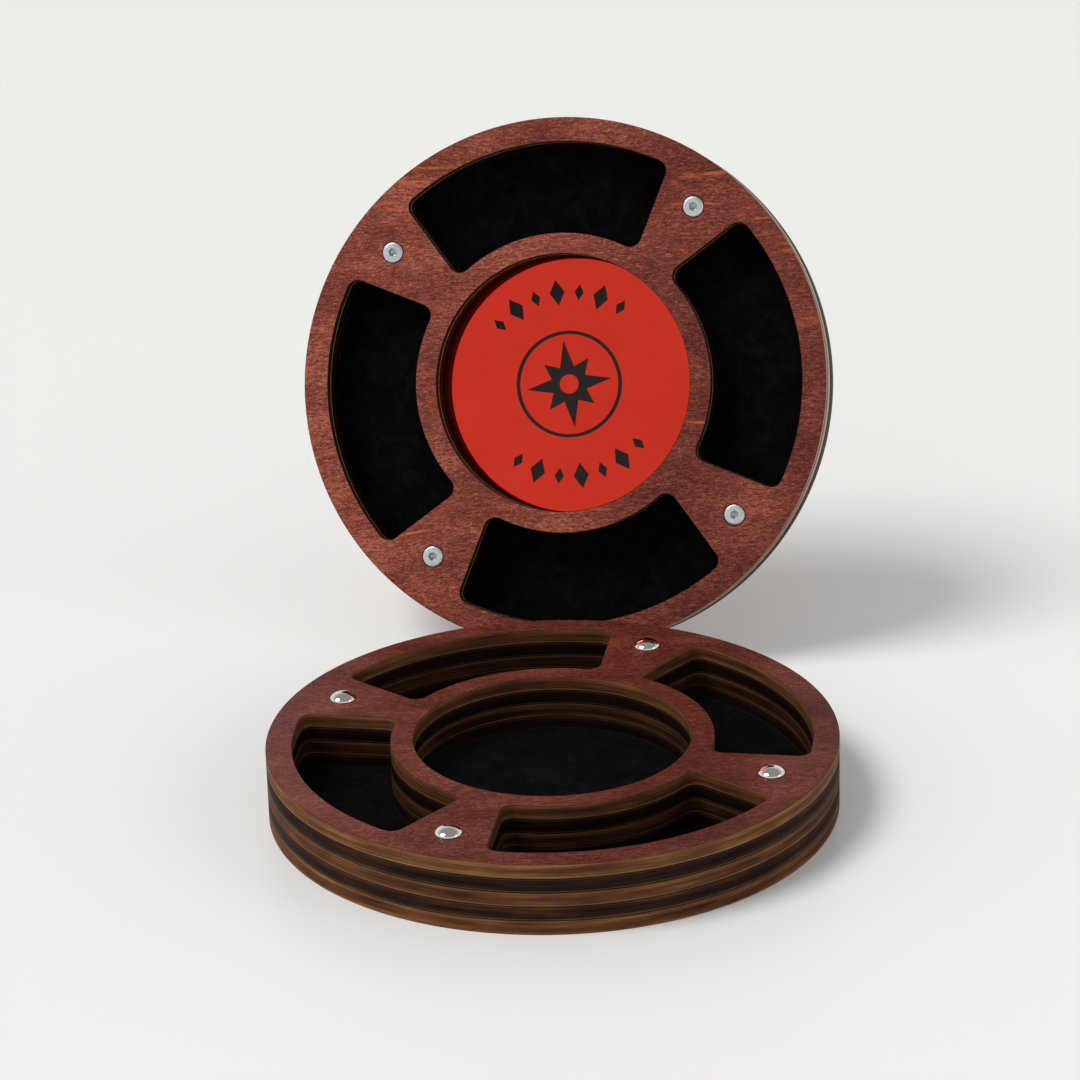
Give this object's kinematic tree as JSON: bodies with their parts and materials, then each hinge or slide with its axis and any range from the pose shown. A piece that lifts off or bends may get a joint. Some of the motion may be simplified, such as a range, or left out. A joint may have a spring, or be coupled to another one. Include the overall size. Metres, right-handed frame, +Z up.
{
  "type": "folding dice tray",
  "caption": "Round wooden dice tray in two magnetic halves: a middle well ringed by velvet-lined cells, and a lid with a red mirror.",
  "frame": {"origin": "centre of the tray half's underside", "axes": "+Z up out of the tray; +Y towards the lid, which stands behind the tray and faces -Y; +X to the right"},
  "size_m": [0.157, 0.2153, 0.1349],
  "materials": {
    "ply_face": "mahogany-stained birch plywood, satin, with charred laser-cut edges",
    "ply_core": "laser-cut plywood edge, browned, with pale glue lines",
    "velvet": "black velvet pile",
    "red_mirror": "red mirror acrylic, polished",
    "ornament_black": "black film, satin",
    "magnet_nickel": "polished nickel plate",
    "screw_steel": "zinc-plated steel",
    "insert_brass": "turned brass"
  },
  "bodies": {
    "tray": {"tray_bottom_sheet": "ply_face", "tray_ring_4": "ply_core", "tray_ring_3": "ply_core", "tray_ring_2": "ply_core", "tray_face_sheet": "ply_face", "tray_well_velvet": "velvet", "tray_cell_velvet_1": "velvet", "tray_cell_velvet_2": "velvet", "tray_cell_velvet_3": "velvet", "tray_cell_velvet_4": "velvet", "magnet_stud_1": "magnet_nickel", "magnet_stud_2": "magnet_nickel", "magnet_stud_3": "magnet_nickel", "magnet_stud_4": "magnet_nickel"},
    "lid": {"lid_back_sheet": "ply_face", "lid_ring_3": "ply_core", "lid_ring_2": "ply_core", "lid_face_sheet": "ply_face", "lid_cell_velvet_1": "velvet", "lid_cell_velvet_2": "velvet", "lid_cell_velvet_3": "velvet", "lid_cell_velvet_4": "velvet", "mirror_disc": "red_mirror", "mirror_ornament": "ornament_black", "lid_screw_1": "screw_steel", "lid_screw_2": "screw_steel", "lid_screw_3": "screw_steel", "lid_screw_4": "screw_steel", "screw_insert_1": "insert_brass", "screw_insert_2": "insert_brass", "screw_insert_3": "insert_brass", "screw_insert_4": "insert_brass"}
  },
  "joints": [
    {"name": "lid_fold", "type": "hinge", "parent": "tray", "child": "lid", "pos_m": [-0.00922, 0.0699, 0.009], "axis": [0.9895, 0.1202, 0.0805], "range_deg": [0, 112.95]}
  ]
}
